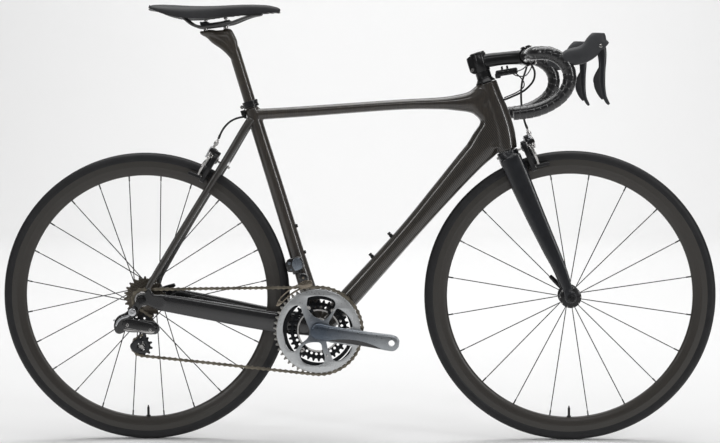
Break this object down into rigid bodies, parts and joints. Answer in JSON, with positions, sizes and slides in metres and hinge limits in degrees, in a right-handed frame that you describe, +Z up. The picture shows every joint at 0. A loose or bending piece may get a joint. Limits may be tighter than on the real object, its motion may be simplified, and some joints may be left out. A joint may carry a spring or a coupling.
{
  "type": "road bicycle",
  "caption": "Drop-bar road bicycle with a carbon frame, deep-rimmed spoked wheels, rim brakes, two chainrings, rear derailleur and narrow saddle; steers, rolls, pedals, shifts and brakes.",
  "frame": {"origin": "on the ground, midway between the two axles and on the centre plane", "axes": "+X forward, +Z up, +Y to the rider's left, away from the chain"},
  "size_m": [1.6519, 0.45, 1.0085],
  "materials": {
    "carbon_gloss": "clear-coated ribbed carbon weave",
    "carbon_black": "smooth gloss black carbon",
    "carbon_satin": "satin black carbon",
    "rim_carbon": "satin brown-grey carbon",
    "tyre": "matt black rubber",
    "rubber": "matt moulded rubber",
    "bar_tape": "gloss black padded tape",
    "cable_jacket": "matt black jacket",
    "saddle_skin": "dark grey-blue microfibre",
    "black_plastic": "moulded black plastic",
    "anodised_black": "satin anodised black",
    "aluminium": "brushed aluminium",
    "crank_grey": "satin blue-grey anodised",
    "steel": "brushed steel",
    "chain_steel": "oiled bronze-grey steel"
  },
  "bodies": {
    "frame": {"front_triangle": "carbon_gloss", "chainstays": "carbon_black", "seatstays": "carbon_gloss", "seat_collar": "anodised_black", "bottle_bolts": "anodised_black", "headset_bearings": "steel", "bottom_bracket": "anodised_black", "rear_brake_housing": "cable_jacket", "rear_skewer": "anodised_black", "chain": "chain_steel", "rear_derailleur_mount": "anodised_black", "front_derailleur_mount": "anodised_black"},
    "seatpost": {"seatpost": "carbon_gloss", "seat_clamp": "anodised_black", "battery": "black_plastic"},
    "saddle": {"saddle_shell": "black_plastic", "saddle_cover": "saddle_skin", "saddle_rails": "carbon_satin"},
    "steering": {"fork": "carbon_satin", "steerer_tube": "carbon_satin", "headset_covers": "anodised_black", "stem": "anodised_black", "stem_faceplate": "anodised_black", "stem_bolts": "steel", "handlebar": "carbon_satin", "bar_tape": "bar_tape", "lever_hoods": "rubber", "front_brake_housing": "cable_jacket", "steering_lines": "cable_jacket", "front_skewer": "anodised_black"},
    "rear_quick_release": {"rear_qr_lever": "anodised_black"},
    "front_quick_release": {"front_qr_lever": "anodised_black"},
    "right_lever": {"brake_lever_right": "carbon_satin"},
    "left_lever": {"brake_lever_left": "carbon_satin"},
    "right_upper_button": {"right_upper_button": "black_plastic"},
    "right_lower_button": {"right_lower_button": "black_plastic"},
    "left_upper_button": {"left_upper_button": "black_plastic"},
    "left_lower_button": {"left_lower_button": "black_plastic"},
    "front_inner_arm": {"front_brake_inner_arm": "anodised_black"},
    "front_outer_arm": {"front_brake_outer_arm": "aluminium"},
    "rear_inner_arm": {"rear_brake_inner_arm": "anodised_black"},
    "rear_outer_arm": {"rear_brake_outer_arm": "aluminium"},
    "front_wheel": {"front_tyre": "tyre", "front_rim": "rim_carbon", "front_spokes": "anodised_black", "front_hub": "anodised_black"},
    "rear_wheel": {"rear_tyre": "tyre", "rear_rim": "rim_carbon", "rear_spokes": "anodised_black", "rear_hub": "anodised_black"},
    "cassette": {"cassette": "steel"},
    "crankset": {"right_crank": "crank_grey", "chainrings": "crank_grey", "left_crank": "crank_grey"},
    "derailleur_links": {"rear_derailleur_links": "anodised_black"},
    "derailleur_knuckle": {"rear_derailleur_knuckle": "anodised_black"},
    "derailleur_cage": {"rear_derailleur_cage": "carbon_satin"},
    "guide_pulley": {"guide_pulley": "black_plastic"},
    "tension_pulley": {"tension_pulley": "black_plastic"},
    "front_cage": {"front_derailleur_cage": "steel"}
  },
  "joints": [
    {"name": "seatpost_height", "type": "slide", "parent": "frame", "child": "seatpost", "axis": [-0.2874, 0, 0.9578], "range_m": [-0.06, 0.05]},
    {"name": "saddle_setback", "type": "slide", "parent": "seatpost", "child": "saddle", "axis": [0.9929, 0, 0.119], "range_m": [-0.015, 0.015]},
    {"name": "steering", "type": "hinge", "parent": "frame", "child": "steering", "pos_m": [0.449, 0, 0.335], "axis": [-0.2924, 0, 0.9563], "range_deg": [-60, 60], "deforming": ["steering_lines"]},
    {"name": "front_wheel_spin", "type": "hinge", "parent": "steering", "child": "front_wheel", "pos_m": [0.491, 0, 0.335], "axis": [0, 1, 0], "continuous": true},
    {"name": "rear_wheel_spin", "type": "hinge", "parent": "frame", "child": "rear_wheel", "pos_m": [-0.491, 0, 0.335], "axis": [0, 1, 0], "continuous": true},
    {"name": "crank_spin", "type": "hinge", "parent": "frame", "child": "crankset", "pos_m": [-0.087, 0, 0.26], "axis": [0, 1, 0], "continuous": true, "deforming": ["chain"]},
    {"name": "cassette_spin", "type": "hinge", "parent": "frame", "child": "cassette", "pos_m": [-0.491, 0, 0.335], "axis": [0, 1, 0], "continuous": true, "deforming": ["chain"]},
    {"name": "derailleur_shift", "type": "hinge", "parent": "frame", "child": "derailleur_links", "pos_m": [-0.521, -0.0858, 0.279], "axis": [0.1799, 0.6, 0.7795], "range_deg": [0, 60], "deforming": ["chain"]},
    {"name": "derailleur_knuckle_turn", "type": "hinge", "parent": "derailleur_links", "child": "derailleur_knuckle", "pos_m": [-0.469, -0.0858, 0.267], "axis": [0.1799, 0.6, 0.7795], "range_deg": [-60, 0], "deforming": ["chain"]},
    {"name": "derailleur_cage_swing", "type": "hinge", "parent": "derailleur_knuckle", "child": "derailleur_cage", "pos_m": [-0.489, -0.0605, 0.28], "axis": [0, 1, 0], "range_deg": [-20, 25], "stiffness_Nm_per_rad": 0.6, "deforming": ["chain"]},
    {"name": "guide_pulley_spin", "type": "hinge", "parent": "derailleur_cage", "child": "guide_pulley", "pos_m": [-0.489, -0.0605, 0.28], "axis": [0, 1, 0], "continuous": true, "deforming": ["chain"]},
    {"name": "tension_pulley_spin", "type": "hinge", "parent": "derailleur_cage", "child": "tension_pulley", "pos_m": [-0.493, -0.0605, 0.227], "axis": [0, 1, 0], "continuous": true, "deforming": ["chain"]},
    {"name": "front_derailleur_shift", "type": "slide", "parent": "frame", "child": "front_cage", "axis": [0, 1, 0], "range_m": [0, 0.006], "deforming": ["chain"]},
    {"name": "right_brake_lever", "type": "hinge", "parent": "steering", "child": "right_lever", "pos_m": [0.536, -0.205, 0.9], "axis": [0, 1, 0], "range_deg": [0, 20], "stiffness_Nm_per_rad": 1},
    {"name": "right_upper_button_press", "type": "slide", "parent": "right_lever", "child": "right_upper_button", "axis": [0, 1, 0], "range_m": [0, 0.0015], "stiffness_N_per_m": 500},
    {"name": "right_lower_button_press", "type": "slide", "parent": "right_lever", "child": "right_lower_button", "axis": [0, 1, 0], "range_m": [0, 0.0015], "stiffness_N_per_m": 500},
    {"name": "left_brake_lever", "type": "hinge", "parent": "steering", "child": "left_lever", "pos_m": [0.536, 0.205, 0.9], "axis": [0, 1, 0], "range_deg": [0, 20], "stiffness_Nm_per_rad": 1},
    {"name": "left_upper_button_press", "type": "slide", "parent": "left_lever", "child": "left_upper_button", "axis": [0, -1, 0], "range_m": [0, 0.0015], "stiffness_N_per_m": 500},
    {"name": "left_lower_button_press", "type": "slide", "parent": "left_lever", "child": "left_lower_button", "axis": [0, -1, 0], "range_m": [0, 0.0015], "stiffness_N_per_m": 500},
    {"name": "front_inner_arm_swing", "type": "hinge", "parent": "steering", "child": "front_inner_arm", "pos_m": [0.38102, 0, 0.67633], "axis": [0.9184, 0, 0.3955], "range_deg": [0, 1.8]},
    {"name": "front_outer_arm_swing", "type": "hinge", "parent": "steering", "child": "front_outer_arm", "pos_m": [0.38493, 0.023, 0.69], "axis": [0.9184, 0, 0.3955], "range_deg": [-1.6, 0]},
    {"name": "rear_inner_arm_swing", "type": "hinge", "parent": "frame", "child": "rear_inner_arm", "pos_m": [-0.32174, 0, 0.64984], "axis": [0.8558, 0, -0.5173], "range_deg": [0, 1.8]},
    {"name": "rear_outer_arm_swing", "type": "hinge", "parent": "frame", "child": "rear_outer_arm", "pos_m": [-0.32375, 0.023, 0.66391], "axis": [0.8558, 0, -0.5173], "range_deg": [-1.6, 0]},
    {"name": "rear_quick_release_lever", "type": "hinge", "parent": "frame", "child": "rear_quick_release", "pos_m": [-0.491, 0.0854, 0.335], "axis": [-0.309, 0, 0.9511], "range_deg": [0, 165]},
    {"name": "front_quick_release_lever", "type": "hinge", "parent": "steering", "child": "front_quick_release", "pos_m": [0.491, 0.0694, 0.335], "axis": [-0.7071, 0, -0.7071], "range_deg": [0, 165]}
  ],
  "couplings": [
    {"joint": "cassette_spin", "follows": "crank_spin", "ratio": 4.5455},
    {"joint": "guide_pulley_spin", "follows": "crank_spin", "ratio": -4.5455},
    {"joint": "tension_pulley_spin", "follows": "crank_spin", "ratio": 4.5455},
    {"joint": "derailleur_knuckle_turn", "follows": "derailleur_shift", "ratio": -1},
    {"joint": "front_inner_arm_swing", "follows": "left_brake_lever", "ratio": 0.085},
    {"joint": "front_outer_arm_swing", "follows": "left_brake_lever", "ratio": -0.075},
    {"joint": "rear_inner_arm_swing", "follows": "right_brake_lever", "ratio": 0.085},
    {"joint": "rear_outer_arm_swing", "follows": "right_brake_lever", "ratio": -0.075}
  ]
}
